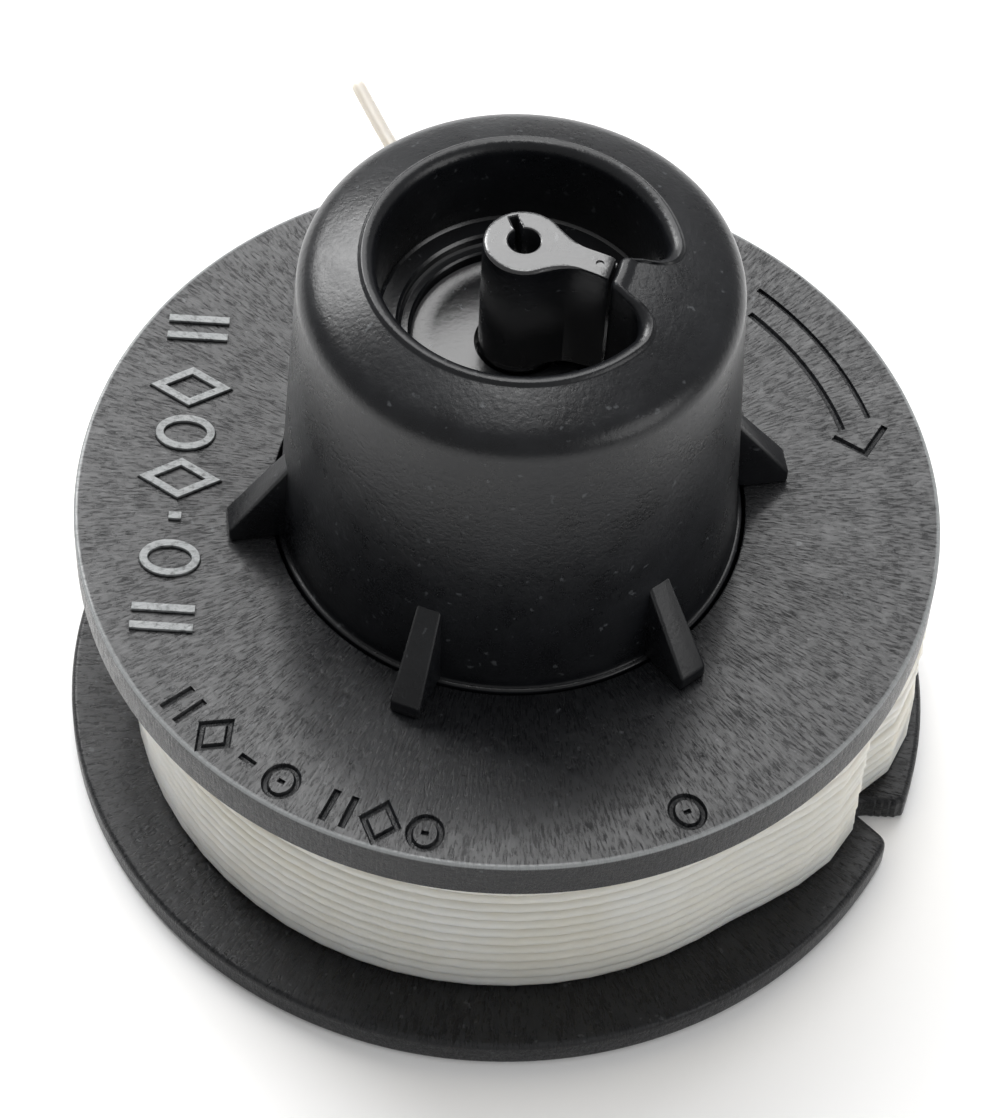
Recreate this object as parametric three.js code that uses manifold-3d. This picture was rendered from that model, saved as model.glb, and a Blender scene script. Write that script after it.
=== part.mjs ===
// Replacement line spool for a grass trimmer: a tall hub with a C-shaped pocket, two flanges,
// a drum between them and about eleven metres of thin nylon line.
// Millimetres, +Z up, origin at the middle of the lower flange's underside.

import * as THREE from "three";
import { mergeVertices } from "three/addons/utils/BufferGeometryUtils.js";
import Module from "manifold-3d";

const wasm = await Module();
wasm.setup();

// ---- driving dimensions ----

const gap = 0.3; // between pieces that touch on the real spool
const turnSteps = 48; // facets round a turned piece

const upperRadius = 35;
const upperThickness = 3.8;
const lowerRadius = 36.5;
const lowerThickness = 2.7;
const spaceHeight = 21.1; // between the flanges
const edgeRound = 0.4;

const hubFootRadius = 18.3;
const hubShoulderRadius = 17;
const hubShoulderHeight = 26.3; // above the upper flange
const hubHeight = 31.7; // above the upper flange
const domeRadius = 38;
const domeEdgeRadius = 15.4;
const hubWall = 2;

const pocketRadius = 11;
const pocketLip = 0.9;
const ledgeInnerRadius = 9.2;
const ledgeHeight = 22; // above the upper flange
const floorHeight = 20; // above the upper flange
const floorThickness = 2;

const webMiddle = -14; // degrees, the direction of the web and of the post's rib
const webHalfAngle = 14;
const webTipRadius = 7.15;
const webFillet = 2;
const webTipRound = 0.7;

const skirtRadius = 18.9;
const skirtSlots = 6;
const skirtSlotWidth = 1.6;
const skirtSlotHeight = 11;
const beadRadius = 20.1;
const beadHeight = 0.7;
const beadBottom = 0.4;
const dogCount = 8;
const dogDepth = 2; // inwards from the skirt's inner wall
const dogWidth = 3;
const dogHeight = 9;
const dogBottom = 13;

const gussetCount = 6;
const gussetTurn = 12; // degrees
const gussetThickness = 2.15;
const gussetOuterRadius = 22.8;
const gussetInnerHeight = 7.4;
const gussetOuterHeight = 1.3;

const postRadius = 3.1;
const postBottom = 37;
const collarRadius = 6;
const collarThickness = 2;
const boreRadius = 1.2;
const boreDepth = 3.2;
const lowerBoreRadius = 1.6;
const boreBridge = 2; // solid between the two bores
const keySlotAngle = 112; // degrees
const keySlotWidth = 0.7;
const keySlotReach = 2.5;
const ribWidth = 2.1;
const ribRootWidth = 5;
const ribRootRadius = 1.9;
const ribNeckRadius = 5;

const drumRadius = 25.9;
const drumWall = 1.5;
const drumRibs = 6;
const drumRibThickness = 1.4;
const drumRibTurn = 25; // degrees

const notchAngles = [-20, 160]; // degrees
const notchMouth = 4.1;
const notchEnd = 1;
const notchEndRadius = 32.8;

const lineDiameter = 1.3;
const windingRadius = 31.1;
const windingStep = 3; // degrees

// Where the outer turns stand off those below, as degrees and radius, with a crease at the notch.
const looseTurns = [
  [-50, windingRadius],
  [-26, 33.6],
  [-19, 32.4],
  [-10, 35.2],
  [45, 35.2],
  [70, 33.65],
];

// The free end, from the last turn to its cut tip.
const tailRoute = [
  [10.7, 31.2, 13.4],
  [5.9, 33.2, 13.4],
  [1.4, 35.8, 13.3],
  [-2.7, 38.9, 13.3],
  [-6.5, 42.5, 13.1],
  [-9.8, 46.5, 12.9],
  [-12.6, 51.0, 12.7],
  [-15.0, 55.9, 12.5],
  [-16.4, 58.8, 12.5],
];

// The inner end, from inside the drum to its slot.
const anchorRoute = [
  [21.2, 6.8, 3.7],
  [21.9, 8.2, 3.7],
  [22.3, 9.7, 3.7],
  [22.4, 11.3, 3.7],
];
const tubeSteps = 14;

const anchorSlotTurn = 27; // degrees
const anchorSlotWidth = 6.4;
const anchorSlotHeight = 2;

// ---- levels and radii that follow ----

const lowerTop = lowerThickness;
const upperBottom = lowerTop + spaceHeight;
const upperTop = upperBottom + upperThickness;
const shoulderZ = upperTop + hubShoulderHeight;
const hubTop = upperTop + hubHeight;
const ledgeZ = upperTop + ledgeHeight;
const floorZ = upperTop + floorHeight;
const floorUnder = floorZ - floorThickness;
const holeRadius = skirtRadius + gap;
const skirtInner = skirtRadius - hubWall;
const ribBottom = floorZ + gap;
const windingBottom = lowerTop + gap;
const windingTop = upperBottom - gap;

// ---- helpers ----

const rad = (degrees) => THREE.MathUtils.degToRad(degrees);

const polar = (radius, degrees) => [radius * Math.cos(rad(degrees)), radius * Math.sin(rad(degrees))];

// Points along an arc in a plane, from one angle to another, both in degrees.
function arc(centreX, centreY, radius, from, to, steps) {
  const points = [];
  for (let i = 0; i <= steps; i += 1) {
    const [x, y] = polar(radius, from + ((to - from) * i) / steps);
    points.push([centreX + x, centreY + y]);
  }
  return points;
}

function toSolid(geometry) {
  const bare = geometry.index ? geometry.toNonIndexed() : geometry.clone();
  bare.deleteAttribute("normal");
  bare.deleteAttribute("uv");
  const merged = mergeVertices(bare, 1e-5);
  return new wasm.Manifold(
    new wasm.Mesh({
      numProp: 3,
      vertProperties: new Float32Array(merged.attributes.position.array),
      triVerts: new Uint32Array(merged.index.array),
    }),
  );
}

function toGeometry(solid) {
  const mesh = solid.getMesh();
  const geometry = new THREE.BufferGeometry();
  geometry.setAttribute("position", new THREE.BufferAttribute(mesh.vertProperties, mesh.numProp));
  geometry.setIndex(new THREE.BufferAttribute(mesh.triVerts, 1));
  geometry.computeVertexNormals();
  return geometry;
}

// A turned piece about Z from (radius, height) points that run up outside and down inside.
function turned(profile) {
  const points = profile.map(([radius, height]) => new THREE.Vector2(radius, height));
  const onAxis = profile[0][0] === 0;
  if (!onAxis) points.push(points[0].clone());
  return new THREE.LatheGeometry(points, turnSteps).rotateX(Math.PI / 2);
}

// A flat outline in X and Y raised from one height to another.
function raised(outline, bottom, top) {
  const shape = new THREE.Shape(outline.map(([x, y]) => new THREE.Vector2(x, y)));
  const options = { depth: top - bottom, bevelEnabled: false, steps: 1 };
  return new THREE.ExtrudeGeometry(shape, options).translate(0, 0, bottom);
}

// A block that lies along a radius, between two radii and two heights.
function radialBlock({ inner, outer, width, bottom, top, turn }) {
  return new THREE.BoxGeometry(outer - inner, width, top - bottom)
    .translate((inner + outer) / 2, 0, (bottom + top) / 2)
    .rotateZ(rad(turn));
}

// A length of line with capped ends on a smooth curve through the points.
function lineAlong(points) {
  const curve = new THREE.CatmullRomCurve3(points.map((point) => new THREE.Vector3(...point)));
  const section = new THREE.Shape().absarc(0, 0, lineDiameter / 2, 0, Math.PI * 2);
  const options = { steps: tubeSteps, curveSegments: 8, bevelEnabled: false, extrudePath: curve };
  return new THREE.ExtrudeGeometry(section, options);
}

const domeAt = (radius) => hubTop - domeRadius + Math.sqrt(domeRadius ** 2 - radius ** 2);

const assembly = new THREE.Group();

function addPiece(name, geometry, material) {
  const mesh = new THREE.Mesh(geometry, material);
  mesh.name = name;
  assembly.add(mesh);
}

const nylon = (colour, roughness) =>
  new THREE.MeshStandardMaterial({ color: colour, roughness, metalness: 0 });

// ---- hub: shell, pocket, web, gussets and snap skirt ----

function hubShell() {
  const cornerRadius = hubShoulderRadius - domeEdgeRadius;
  const domeEdge = domeAt(domeEdgeRadius);
  const lipOuter = pocketRadius + pocketLip;
  const cavityTop = shoulderZ - 0.5;
  const cavityInner = pocketRadius + 1.8;
  return turned([
    [skirtInner, beadBottom],
    [beadRadius - 0.5, beadBottom],
    [beadRadius, beadBottom + beadHeight / 2],
    [beadRadius, beadBottom + beadHeight],
    [skirtRadius, beadBottom + beadHeight],
    [skirtRadius, upperTop - 0.4],
    [hubFootRadius + 0.15, upperTop + 0.3],
    [hubFootRadius, upperTop + 1],
    [hubShoulderRadius, shoulderZ],
    [hubShoulderRadius - cornerRadius * 0.22, shoulderZ + (domeEdge - shoulderZ) * 0.55],
    [hubShoulderRadius - cornerRadius * 0.55, shoulderZ + (domeEdge - shoulderZ) * 0.85],
    [domeEdgeRadius, domeEdge],
    [(domeEdgeRadius + lipOuter) / 2, domeAt((domeEdgeRadius + lipOuter) / 2)],
    [lipOuter, domeAt(lipOuter)],
    [pocketRadius + pocketLip * 0.3, domeAt(lipOuter) - pocketLip * 0.25],
    [pocketRadius, domeAt(lipOuter) - pocketLip],
    [pocketRadius - 0.1, ledgeZ],
    [ledgeInnerRadius, ledgeZ],
    [ledgeInnerRadius - 0.2, floorZ],
    [postRadius + gap, floorZ],
    [postRadius + gap, floorUnder],
    [cavityInner, floorUnder],
    [cavityInner, cavityTop],
    [hubShoulderRadius - hubWall, cavityTop],
    [hubFootRadius - hubWall, upperTop + 1],
    [skirtInner, upperTop - 2],
  ]);
}

// One side of the web's outline: from its rounded tip out along a radius, then flaring into the wall.
function webSide(side) {
  const edge = webMiddle + side * webHalfAngle;
  const reach = pocketRadius - webFillet;
  const spread = THREE.MathUtils.radToDeg(Math.asin(webFillet / reach));
  const [filletX, filletY] = polar(reach, edge + side * spread);
  const tipSpread = THREE.MathUtils.radToDeg(webTipRound / webTipRadius);
  return [
    polar(webTipRadius, edge - side * tipSpread),
    polar(webTipRadius + webTipRound * 0.3, edge - side * tipSpread * 0.3),
    polar(webTipRadius + webTipRound, edge),
    ...arc(filletX, filletY, webFillet, edge - side * 90, edge + side * spread, 5),
    polar(pocketRadius + 1, edge + side * spread),
  ];
}

function webBlock() {
  const outline = [...webSide(-1), ...webSide(1).reverse()];
  return toSolid(raised(outline, floorUnder + 0.5, hubTop + 1)).intersect(toSolid(domeCap()));
}

// Everything below the domed top surface, out to just past the pocket's wall.
function domeCap() {
  const rim = pocketRadius + 1.2;
  const top = [];
  for (let i = 0; i <= 6; i += 1) {
    const radius = rim * (1 - i / 6);
    top.push([radius, domeAt(radius)]);
  }
  return turned([[0, floorUnder], [rim, floorUnder], ...top]);
}

function gusset(index) {
  const outline = [
    [hubShoulderRadius - 0.6, upperTop + gap],
    [gussetOuterRadius, upperTop + gap],
    [gussetOuterRadius, upperTop + gussetOuterHeight],
    [hubFootRadius - 0.2, upperTop + gussetInnerHeight],
    [hubShoulderRadius - 0.6, upperTop + gussetInnerHeight],
  ];
  return raised(outline, -gussetThickness / 2, gussetThickness / 2)
    .rotateX(Math.PI / 2)
    .rotateZ(rad(gussetTurn + (360 / gussetCount) * index));
}

// A drive dog inside the skirt, above its slots.
function dog(index) {
  return radialBlock({
    inner: skirtInner - dogDepth,
    outer: skirtInner + 0.5,
    width: dogWidth,
    bottom: dogBottom,
    top: dogBottom + dogHeight,
    turn: (360 / dogCount) * (index + 0.5),
  });
}

function skirtSlot(index) {
  return radialBlock({
    inner: skirtInner - 1,
    outer: beadRadius + 1,
    width: skirtSlotWidth,
    bottom: -1,
    top: skirtSlotHeight,
    turn: (360 / skirtSlots) * (index + 0.5),
  });
}

function makeHub() {
  let hub = toSolid(hubShell()).add(webBlock());
  for (let i = 0; i < gussetCount; i += 1) hub = hub.add(toSolid(gusset(i)));
  for (let i = 0; i < dogCount; i += 1) hub = hub.add(toSolid(dog(i)));
  for (let i = 0; i < skirtSlots; i += 1) hub = hub.subtract(toSolid(skirtSlot(i)));
  return toGeometry(hub);
}

// ---- centre post: bore with a key slot, a collar under the pocket's floor and the rib to the web ----

function postBody() {
  const collarTop = floorUnder - gap;
  const boreFloor = hubTop - boreDepth;
  return toSolid(
    turned([
      [0, boreFloor - boreBridge],
      [lowerBoreRadius, boreFloor - boreBridge],
      [lowerBoreRadius, postBottom],
      [postRadius, postBottom],
      [postRadius, collarTop - collarThickness],
      [collarRadius, collarTop - collarThickness],
      [collarRadius, collarTop],
      [postRadius, collarTop],
      [postRadius, hubTop],
      [boreRadius, hubTop],
      [boreRadius, boreFloor],
      [0, boreFloor],
    ]),
  );
}

// The rib narrows from the post to its straight part, which stops just short of the web.
function rib() {
  const outline = [
    [ribRootRadius, -ribRootWidth / 2],
    [(ribRootRadius + ribNeckRadius) / 2, -(ribRootWidth + ribWidth * 2) / 6],
    [ribNeckRadius, -ribWidth / 2],
    [webTipRadius - gap, -ribWidth / 2],
    [webTipRadius - gap, ribWidth / 2],
    [ribNeckRadius, ribWidth / 2],
    [(ribRootRadius + ribNeckRadius) / 2, (ribRootWidth + ribWidth * 2) / 6],
    [ribRootRadius, ribRootWidth / 2],
  ];
  const block = raised(outline, ribBottom, hubTop + 1).rotateZ(rad(webMiddle));
  return toSolid(block).intersect(toSolid(domeCap()));
}

function makePost() {
  const keySlot = radialBlock({
    inner: 0.2,
    outer: keySlotReach,
    width: keySlotWidth,
    bottom: hubTop - boreDepth,
    top: hubTop + 1,
    turn: keySlotAngle,
  });
  const bore = new THREE.CylinderGeometry(boreRadius, boreRadius, boreDepth + 1, turnSteps / 2)
    .rotateX(Math.PI / 2)
    .translate(0, 0, hubTop - boreDepth + (boreDepth + 1) / 2);
  const post = postBody().add(rib()).subtract(toSolid(bore)).subtract(toSolid(keySlot));
  return toGeometry(post);
}

// ---- flanges ----

function makeUpperFlange() {
  return turned([
    [holeRadius, upperBottom],
    [upperRadius - edgeRound, upperBottom],
    [upperRadius, upperBottom + edgeRound],
    [upperRadius, upperTop - edgeRound],
    [upperRadius - edgeRound, upperTop],
    [holeRadius, upperTop],
  ]);
}

function makeLowerFlange() {
  const recessRadius = beadRadius + 0.5;
  const recessTop = beadBottom + beadHeight + gap;
  const disc = turned([
    [recessRadius, 0],
    [lowerRadius - edgeRound, 0],
    [lowerRadius, edgeRound],
    [lowerRadius, lowerTop - edgeRound],
    [lowerRadius - edgeRound, lowerTop],
    [holeRadius, lowerTop],
    [holeRadius, recessTop],
    [recessRadius, recessTop],
  ]);
  let flange = toSolid(disc);
  const mouthRadius = lowerRadius + 1;
  for (const turn of notchAngles) {
    const outline = [
      [notchEndRadius, -notchEnd / 2],
      [mouthRadius, -notchMouth / 2],
      [mouthRadius, notchMouth / 2],
      [notchEndRadius, notchEnd / 2],
    ];
    flange = flange.subtract(toSolid(raised(outline, -1, lowerTop + 1).rotateZ(rad(turn))));
  }
  return toGeometry(flange);
}

// ---- drum: outer wall, inner sleeve and ribs, with a slot at its foot for the line's inner end ----

function drumRing(inner, outer) {
  const outline = [
    [inner, windingBottom],
    [outer, windingBottom],
    [outer, windingTop],
    [inner, windingTop],
  ];
  return toSolid(turned(outline));
}

function drumRib(index) {
  return radialBlock({
    inner: holeRadius + drumWall - 0.5,
    outer: drumRadius - drumWall / 2,
    width: drumRibThickness,
    bottom: windingBottom,
    top: windingTop,
    turn: drumRibTurn + (360 / drumRibs) * index,
  });
}

function makeDrum() {
  let drum = drumRing(drumRadius - drumWall, drumRadius);
  for (let i = 0; i < drumRibs; i += 1) drum = drum.add(toSolid(drumRib(i)));
  drum = drum.add(drumRing(holeRadius, holeRadius + drumWall));
  const slot = radialBlock({
    inner: drumRadius - drumWall - 1,
    outer: drumRadius + 1,
    width: anchorSlotWidth,
    bottom: windingBottom - 1,
    top: windingBottom + anchorSlotHeight,
    turn: anchorSlotTurn,
  });
  return toGeometry(drum.subtract(toSolid(slot)));
}

// ---- the line: its winding stands as one solid, its two ends as lengths of line ----

// The winding's outer radius: plain for most of the way round, then easing from one loose turn to the next.
function windingAt(degrees) {
  const next = looseTurns.findIndex(([turn]) => turn >= degrees);
  if (next < 1) return windingRadius;
  const [[fromTurn, from], [toTurn, to]] = looseTurns.slice(next - 1, next + 1);
  const share = (degrees - fromTurn) / (toTurn - fromTurn);
  return from + (to - from) * share * share * (3 - 2 * share);
}

function makeWinding() {
  const end = looseTurns[looseTurns.length - 1][0];
  const outline = [];
  for (let turn = end - 360; turn <= end; turn += windingStep) outline.push(polar(windingAt(turn), turn));
  const hole = arc(0, 0, drumRadius + gap, 0, 360, turnSteps).slice(0, -1);
  const outer = toSolid(raised(outline, windingBottom, windingTop));
  return toGeometry(outer.subtract(toSolid(raised(hole, windingBottom - 1, windingTop + 1))));
}

// ---- assembly ----

const blackNylon = nylon(0x1c1e20, 0.45);
const flangeNylon = nylon(0x2a2d2f, 0.38);
const clearLine = nylon(0xcfc8b8, 0.35);

addPiece("hub", makeHub(), blackNylon);
addPiece("centre_post", makePost(), blackNylon.clone());
addPiece("upper_flange", makeUpperFlange(), flangeNylon);
addPiece("lower_flange", makeLowerFlange(), flangeNylon.clone());
addPiece("drum", makeDrum(), blackNylon.clone());
addPiece("line_winding", makeWinding(), clearLine);
addPiece("line_tail", lineAlong(tailRoute), clearLine.clone());
addPiece("line_anchor_end", lineAlong(anchorRoute), clearLine.clone());

export default assembly;
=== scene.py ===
# A grass trimmer's replacement spool: black moulded hub and flanges, cream nylon line.
# Sizes are millimetres from the middle of the lower flange's underside, with z up.

import math

import bmesh
import bpy
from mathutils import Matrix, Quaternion, Vector, noise


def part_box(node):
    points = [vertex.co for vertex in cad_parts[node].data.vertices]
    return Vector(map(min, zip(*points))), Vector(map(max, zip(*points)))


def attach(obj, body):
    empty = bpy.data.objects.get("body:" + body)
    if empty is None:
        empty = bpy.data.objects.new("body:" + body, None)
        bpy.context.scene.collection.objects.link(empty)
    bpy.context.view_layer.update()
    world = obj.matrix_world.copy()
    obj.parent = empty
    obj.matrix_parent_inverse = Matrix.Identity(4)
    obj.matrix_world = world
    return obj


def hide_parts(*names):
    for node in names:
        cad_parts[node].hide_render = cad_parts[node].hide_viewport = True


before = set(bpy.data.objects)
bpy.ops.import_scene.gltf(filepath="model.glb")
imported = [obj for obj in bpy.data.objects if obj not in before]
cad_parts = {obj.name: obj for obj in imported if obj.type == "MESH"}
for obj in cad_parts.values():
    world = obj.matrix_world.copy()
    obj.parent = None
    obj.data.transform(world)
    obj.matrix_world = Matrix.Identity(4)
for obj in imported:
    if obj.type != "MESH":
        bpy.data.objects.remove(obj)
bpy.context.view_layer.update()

mm = 0.001
body = "root"  # nothing on the spool moves on its own


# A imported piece's lowest and highest corners, in millimetres.
def nodeBox(name):
    low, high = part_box(name)
    return low / mm, high / mm


lowerLow, lowerHigh = nodeBox("lower_flange")
upperLow, upperHigh = nodeBox("upper_flange")
hubLow, hubHigh = nodeBox("hub")
postLow, postHigh = nodeBox("centre_post")
lowerTop = lowerHigh.z
upperBottom, upperTop = upperLow.z, upperHigh.z
upperRadius, lowerRadius = upperHigh.x, lowerHigh.x
hubTop = postHigh.z


view = {
    "elevation": 52.73,  # degrees above the horizon
    "distance": 308.9,  # from the middle of the upper flange's top
    "aim": (-0.42, -6.08),  # where the lens's axis meets that top
    "roll": 3.41,  # degrees
    "lens": 123.1,  # focal length
    "sensor": 36,
}


def makeCamera():
    lift = math.radians(view["elevation"])
    place = Vector((0, -math.cos(lift), math.sin(lift))) * view["distance"] + Vector((0, 0, upperTop))
    aim = Vector((*view["aim"], upperTop))
    data = bpy.data.cameras.new("studioCamera")
    data.sensor_width, data.lens = view["sensor"], view["lens"]
    data.clip_start, data.clip_end = 0.01, 10
    camera = bpy.data.objects.new("studioCamera", data)
    bpy.context.scene.collection.objects.link(camera)
    camera.rotation_mode = "QUATERNION"
    level = (aim - place).to_track_quat("-Z", "Y")
    camera.rotation_quaternion = level @ Quaternion((0, 0, 1), math.radians(view["roll"]))
    camera.location = place * mm
    bpy.context.scene.camera = camera


makeCamera()
print("camera placed")


# A socket that takes part in sums.
class Wire:
    def __init__(self, finish, socket):
        self.finish, self.socket = finish, socket

    def __add__(self, other):
        return self.finish.sum("ADD", self, other)

    def __sub__(self, other):
        return self.finish.sum("SUBTRACT", self, other)

    def __mul__(self, other):
        return self.finish.sum("MULTIPLY", self, other)

    def __pow__(self, other):
        return self.finish.sum("POWER", self, other)


# A material and the nodes in it.
class Finish:
    def __init__(self, name):
        self.material = bpy.data.materials.new(name)
        self.material.use_nodes = True
        self.tree = self.material.node_tree
        self.tree.nodes.clear()

    def node(self, kind, settings=None, values=None, out=0):
        made = self.tree.nodes.new(kind)
        for key, value in (settings or {}).items():
            setattr(made, key, value)
        for key, value in (values or {}).items():
            if isinstance(value, Wire):
                self.tree.links.new(value.socket, made.inputs[key])
            else:
                made.inputs[key].default_value = value
        return Wire(self, made.outputs[out])

    def sum(self, operation, first, second):
        return self.node("ShaderNodeMath", {"operation": operation}, {0: first, 1: second})

    def place(self):
        return self.node("ShaderNodeTexCoord", out="Object")

    def noise(self, vector, scale, detail=3, roughness=0.55):
        values = {"Vector": vector, "Scale": scale, "Detail": detail, "Roughness": roughness}
        return self.node("ShaderNodeTexNoise", {}, values, "Fac")

    def mix(self, factor, first, second):
        return self.node("ShaderNodeMix", {"data_type": "RGBA"}, {0: factor, 6: first, 7: second}, 2)

    def spread(self, value, low, high, toLow=0.0, toHigh=1.0):
        values = {"Value": value, "From Min": low, "From Max": high, "To Min": toLow, "To Max": toHigh}
        return self.node("ShaderNodeMapRange", {}, values)

    def bump(self, height, strength, distance):
        return self.node(
            "ShaderNodeBump", {}, {"Height": height, "Strength": strength, "Distance": distance}
        )

    # The angle round the axis, the distance from it and the height.
    def cylinder(self):
        parts = {"Vector": self.place()}
        x, y, z = (self.node("ShaderNodeSeparateXYZ", {}, parts, side) for side in ("X", "Y", "Z"))
        return self.sum("ARCTAN2", y, x), (x * x + y * y) ** 0.5, z

    # Around the axis and out from it, so that a stretched noise makes radial streaks.
    def aroundAxis(self, around, outward, upward):
        angle, radius, z = self.cylinder()
        return self.node(
            "ShaderNodeCombineXYZ", {}, {"X": angle * around, "Y": radius * outward, "Z": z * upward}
        )

    def shade(self, values):
        shader = self.node("ShaderNodeBsdfPrincipled", {}, values)
        output = self.tree.nodes.new("ShaderNodeOutputMaterial")
        self.tree.links.new(shader.socket, output.inputs["Surface"])
        return self.material


# Lengths in the three looks are metres.
nylonLook = {
    "black": (0.0032, 0.0035, 0.0045, 1),
    "grey": (0.0075, 0.0082, 0.0098, 1),
    "dust": (0.075, 0.08, 0.085, 1),
    "paintedHighlight": (0.23, 0.24, 0.242, 1),  # painted highlight on the raised marks' tops and the rim's edge
    "hub": (0.24, 0.35, 1.42),  # the lowest and highest roughness, and the index of refraction
    "post": (0.2, 0.3, 1.85),
    "flange": (0.2, 0.4, 1.36),
    "upperGloss": 0.9,  # how glossy the streaks on a flange's top are
    "lowerGloss": 0.3,
    "pocketRoughness": 0.2,
    "grain": 2300,  # grains per metre
    "flangeGrain": 1610,
    "hubCloud": 190,  # soft patches per metre
    "flangeCloud": 330,
    "hubDust": 1500,
    "flangeDust": 1300,
    "streaks": (150, 900, 900),  # per radian round, and per metre outwards and upwards
}


# Satin black with a fine moulded grain and a little dust in it, and smoother in the pocket.
def hubNylon(name, look, pocket=None):
    finish = Finish(name)
    spot = finish.place()
    grain = finish.noise(spot, nylonLook["grain"], 4, 0.6)
    cloud = finish.noise(spot, nylonLook["hubCloud"], 4, 0.6)
    speck = finish.spread(finish.noise(spot, nylonLook["hubDust"], 2, 0.4), 0.69, 0.76)
    shade = finish.mix(finish.spread(cloud, 0.3, 0.7), nylonLook["black"], nylonLook["grey"])
    low, high, index = nylonLook[look]
    roughness = finish.spread(cloud + grain * 0.6, 0.55, 1.05, low, high)
    values = {
        "Base Color": finish.mix(speck * 0.5, shade, nylonLook["dust"]),
        "Roughness": roughness,
        "IOR": index,
        "Normal": finish.bump(grain + cloud * 0.3, 0.3, 0.0001),
    }
    if pocket:
        radius, height = pocket
        around, outward, upward = finish.cylinder()
        inside = finish.spread(outward, radius, radius - 0.4 * mm)
        inside = inside * finish.spread(upward, height, height - 0.4 * mm)
        values["Roughness"] = roughness - inside * (roughness - nylonLook["pocketRoughness"])
        values["Coat Weight"] = inside
        values["Coat Roughness"] = nylonLook["pocketRoughness"]
    return finish.shade(values)


# Semi-gloss black with short streaks that run out from the axis. Given a rim's radius, it adds a
# painted highlight, a light grey on the rim's edge and on the tops of what stands proud, for the light
# they catch.
def flangeNylon(name, gloss, flat, rim=None):
    finish = Finish(name)
    spot = finish.place()
    around, outward, upward = finish.cylinder()
    streak = finish.noise(finish.aroundAxis(*nylonLook["streaks"]), 1, 4, 0.7)
    cloud = finish.noise(spot, nylonLook["flangeCloud"], 5, 0.65)
    grain = finish.noise(spot, nylonLook["flangeGrain"], 3, 0.6)
    speck = finish.spread(finish.noise(spot, nylonLook["flangeDust"], 2, 0.4), 0.7, 0.76)
    mottle = finish.spread(streak * 0.75 + cloud * 0.25, 0.38, 0.62)
    top = finish.spread(upward, flat - 0.25 * mm, flat - 0.1 * mm)
    shade = finish.mix(mottle, nylonLook["black"], nylonLook["grey"])
    shade = finish.mix(speck * 0.5, shade, nylonLook["dust"])
    if rim:
        # painted highlight: the proud tops, patchy with the grain, and the rim's edge turn light grey
        proud = finish.spread(upward, flat + 0.1 * mm, flat + 0.28 * mm)
        proud = proud * finish.spread(grain, 0.2, 0.5)
        edge = finish.spread(outward, rim - 0.4 * mm, rim - 0.2 * mm)
        edge = edge * finish.spread(upward, flat - 0.3 * mm, flat - 0.16 * mm)
        shade = finish.mix(finish.sum("MAXIMUM", proud, edge), shade, nylonLook["paintedHighlight"])
    low, high, index = nylonLook["flange"]
    values = {
        "Base Color": shade,
        "Roughness": finish.spread(mottle + grain * 0.4, 0.2, 1.2, low, high),
        "IOR": index,
        "Coat Weight": mottle * top * nylonLook[gloss],
        "Coat Roughness": 0.2,
        "Normal": finish.bump(streak * 1.1 + cloud * 0.7 + grain * 0.5, 0.75, 0.00018),
    }
    return finish.shade(values)


lineLook = {
    "pale": (0.71, 0.655, 0.555, 1),
    "warm": (0.65, 0.585, 0.465, 1),
    "free": (0.27, 0.265, 0.258, 1),  # painted shade on the free end, which has nothing pale behind it
    "roughness": 0.42,
    "depth": 0.006,  # how far light runs in the nylon
}


# Cream nylon monofilament that light enters.
def lineNylon(name):
    finish = Finish(name)
    spot = finish.place()
    cloud = finish.noise(spot, 90, 3)
    fine = finish.noise(spot, 900, 3)
    around, outward, upward = finish.cylinder()
    wound = finish.mix(finish.spread(cloud, 0.35, 0.65), lineLook["pale"], lineLook["warm"])
    values = {
        # Past 36.5 mm from the axis the line takes the free end's painted shade.
        "Base Color": finish.mix(finish.spread(outward, 36.5 * mm, 39 * mm), wound, lineLook["free"]),
        "Roughness": finish.spread(fine, 0.3, 0.7, lineLook["roughness"], lineLook["roughness"] + 0.14),
        "IOR": 1.53,
        "Subsurface Weight": 1.0,
        "Subsurface Radius": (1.0, 0.9, 0.75),
        "Subsurface Scale": lineLook["depth"],
        "Normal": finish.bump(fine, 0.08, 0.00005),
    }
    return finish.shade(values)


def polar(radius, degrees):
    return radius * math.cos(math.radians(degrees)), radius * math.sin(math.radians(degrees))


# Points along an arc, from one angle to another, both in degrees.
def arc(centre, radius, start, end, steps):
    found = []
    for i in range(steps + 1):
        x, y = polar(radius, start + (end - start) * i / steps)
        found.append((centre[0] + x, centre[1] + y))
    return found


def ease(share):
    share = min(max(share, 0.0), 1.0)
    return share * share * (3 - 2 * share)


# A wall through closed loops of points, made by extruding the first loop again and again.
# Capped, it's closed at both ends.
def skin(bm, loops, capped=False):
    order = bm.verts.layers.int.get("order") or bm.verts.layers.int.new("order")
    verts = [bm.verts.new(Vector(point) * mm) for point in loops[0]]
    for i, vert in enumerate(verts):
        vert[order] = i
    edges = [bm.edges.new((verts[i - 1], verts[i])) for i in range(len(verts))]
    if capped:
        bm.faces.new(verts)
    for loop in loops[1:]:
        made = bmesh.ops.extrude_edge_only(bm, edges=edges)["geom"]
        moved = {item for item in made if isinstance(item, bmesh.types.BMVert)}
        for vert in moved:
            vert.co = Vector(loop[vert[order]]) * mm
        edges = [e for e in made if isinstance(e, bmesh.types.BMEdge) and moved.issuperset(e.verts)]
    if capped:
        bmesh.ops.edgeloop_fill(bm, edges=edges)


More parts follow.
